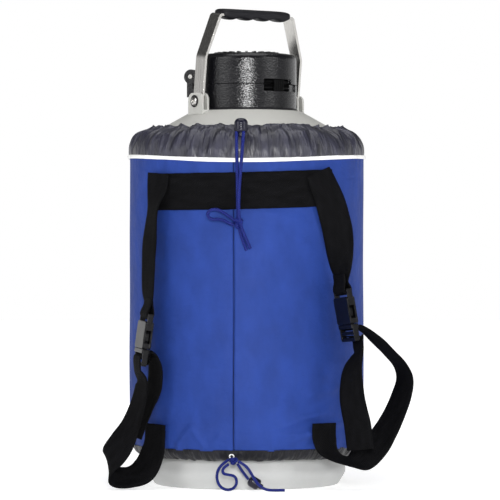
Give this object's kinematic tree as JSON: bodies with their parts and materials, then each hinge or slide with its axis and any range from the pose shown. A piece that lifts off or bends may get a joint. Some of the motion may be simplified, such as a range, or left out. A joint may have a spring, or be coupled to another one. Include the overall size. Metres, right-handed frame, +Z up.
{
  "type": "liquid nitrogen dewar",
  "caption": "Round double-walled dewar with a hinged cap, a swinging carrying handle and a fabric backpack cover with webbing shoulder straps, buckles and drawcords.",
  "frame": {"origin": "on the vessel's axis, at the flat underside of the foot pan", "axes": "+Z up along the vessel's axis; -Y is the front of the cover, where the shoulder straps are; +X is to the right seen from the front"},
  "size_m": [0.39, 0.3181, 0.6109],
  "materials": {
    "shell_paint": "satin, light grey",
    "foot_plastic": "fine texture",
    "vessel_aluminium": "mill",
    "neck_composite": "smooth",
    "insulation": "crinkled foil",
    "adsorbent": "woven bag",
    "steel": "brushed",
    "spring_steel": "bright wire",
    "cap_plastic": "fine grain",
    "plug_foam": "cellular",
    "rubber_black": "matt",
    "washer_plastic": "smooth",
    "nylon_blue": "fine plain weave",
    "nylon_grey": "light crinkled nylon",
    "piping_white": "smooth woven",
    "webbing_black": "ribbed webbing",
    "buckle_plastic": "moulded",
    "cord_blue": "braided",
    "lock_plastic": "moulded"
  },
  "bodies": {
    "vessel": {"adsorbent_pack": "adsorbent", "back_band": "webbing_black", "bottom_cord_feed": "cord_blue", "bottom_cord_knot": "cord_blue", "bottom_cord_loop": "cord_blue", "bottom_cord_tail": "cord_blue", "bottom_lock_barrel": "lock_plastic", "bottom_lock_spring": "spring_steel", "canister_1": "vessel_aluminium", "canister_2": "vessel_aluminium", "canister_3": "vessel_aluminium", "canister_4": "vessel_aluminium", "canister_5": "vessel_aluminium", "canister_6": "vessel_aluminium", "canister_spider": "vessel_aluminium", "cap_collar": "cap_plastic", "collar_gasket": "rubber_black", "collar_screws": "steel", "cover_hem": "nylon_grey", "cover_hood": "nylon_grey", "cover_piping": "piping_white", "cover_sleeve": "nylon_blue", "foot_pan": "foot_plastic", "handle_bracket_left": "shell_paint", "handle_bracket_right": "shell_paint", "hinge_pin": "steel", "inner_vessel": "vessel_aluminium", "insulation_wrap": "insulation", "left_buckle_socket": "buckle_plastic", "left_lower_strap": "webbing_black", "left_strap_tail": "webbing_black", "left_upper_strap": "webbing_black", "neck_index_ring": "vessel_aluminium", "neck_plug_foam": "plug_foam", "neck_plug_head": "cap_plastic", "neck_tube": "neck_composite", "outer_shell": "shell_paint", "pivot_bolts": "steel", "pivot_nuts": "steel", "pivot_washers": "washer_plastic", "right_buckle_socket": "buckle_plastic", "right_lower_strap": "webbing_black", "right_strap_tail": "webbing_black", "right_upper_strap": "webbing_black", "top_cord_bow": "cord_blue", "top_cord_knot": "cord_blue", "top_cord_left": "cord_blue", "top_cord_right": "cord_blue", "top_lock_barrel": "lock_plastic", "top_lock_spring": "spring_steel", "vacuum_port": "vessel_aluminium", "vacuum_port_cap": "rubber_black"},
    "cap_lid": {"cap_lid": "cap_plastic"},
    "latch": {"latch_slider": "cap_plastic"},
    "carrying_handle": {"handle_bail": "steel", "handle_grip": "rubber_black"},
    "top_lock_button": {"top_lock_button": "lock_plastic"},
    "bottom_lock_button": {"bottom_lock_button": "lock_plastic"},
    "left_plug": {"left_buckle_plug": "buckle_plastic"},
    "right_plug": {"right_buckle_plug": "buckle_plastic"}
  },
  "joints": [
    {"name": "handle_swing", "type": "hinge", "parent": "vessel", "child": "carrying_handle", "pos_m": [0, 0, 0.4905], "axis": [0.8192, 0.5736, 0], "range_deg": [-97, 83]},
    {"name": "lid_hinge", "type": "hinge", "parent": "vessel", "child": "cap_lid", "pos_m": [-0.06578, 0.02394, 0.5245], "axis": [-0.342, -0.9397, 0], "range_deg": [0, 15]},
    {"name": "latch_turn", "type": "hinge", "parent": "vessel", "child": "latch", "pos_m": [0, 0, 0.5105], "axis": [0, 0, -1], "range_deg": [0, 12]},
    {"name": "top_lock_press", "type": "slide", "parent": "vessel", "child": "top_lock_button", "axis": [0, 0.0995, 0.995], "range_m": [0, 0.0025], "stiffness_N_per_m": 600, "springref_m": -0.002, "deforming": ["top_lock_spring"]},
    {"name": "bottom_lock_press", "type": "slide", "parent": "vessel", "child": "bottom_lock_button", "axis": [-0.8645, 0, 0.5026], "range_m": [0, 0.002], "stiffness_N_per_m": 600, "springref_m": -0.0015, "deforming": ["bottom_lock_spring"]},
    {"name": "left_buckle_release", "type": "slide", "parent": "vessel", "child": "left_plug", "axis": [-0.14, 0, -0.9901], "range_m": [0, 0.026], "deforming": ["left_lower_strap", "left_strap_tail"]},
    {"name": "right_buckle_release", "type": "slide", "parent": "vessel", "child": "right_plug", "axis": [0.166, 0, -0.9861], "range_m": [0, 0.026], "deforming": ["right_lower_strap", "right_strap_tail"]}
  ]
}
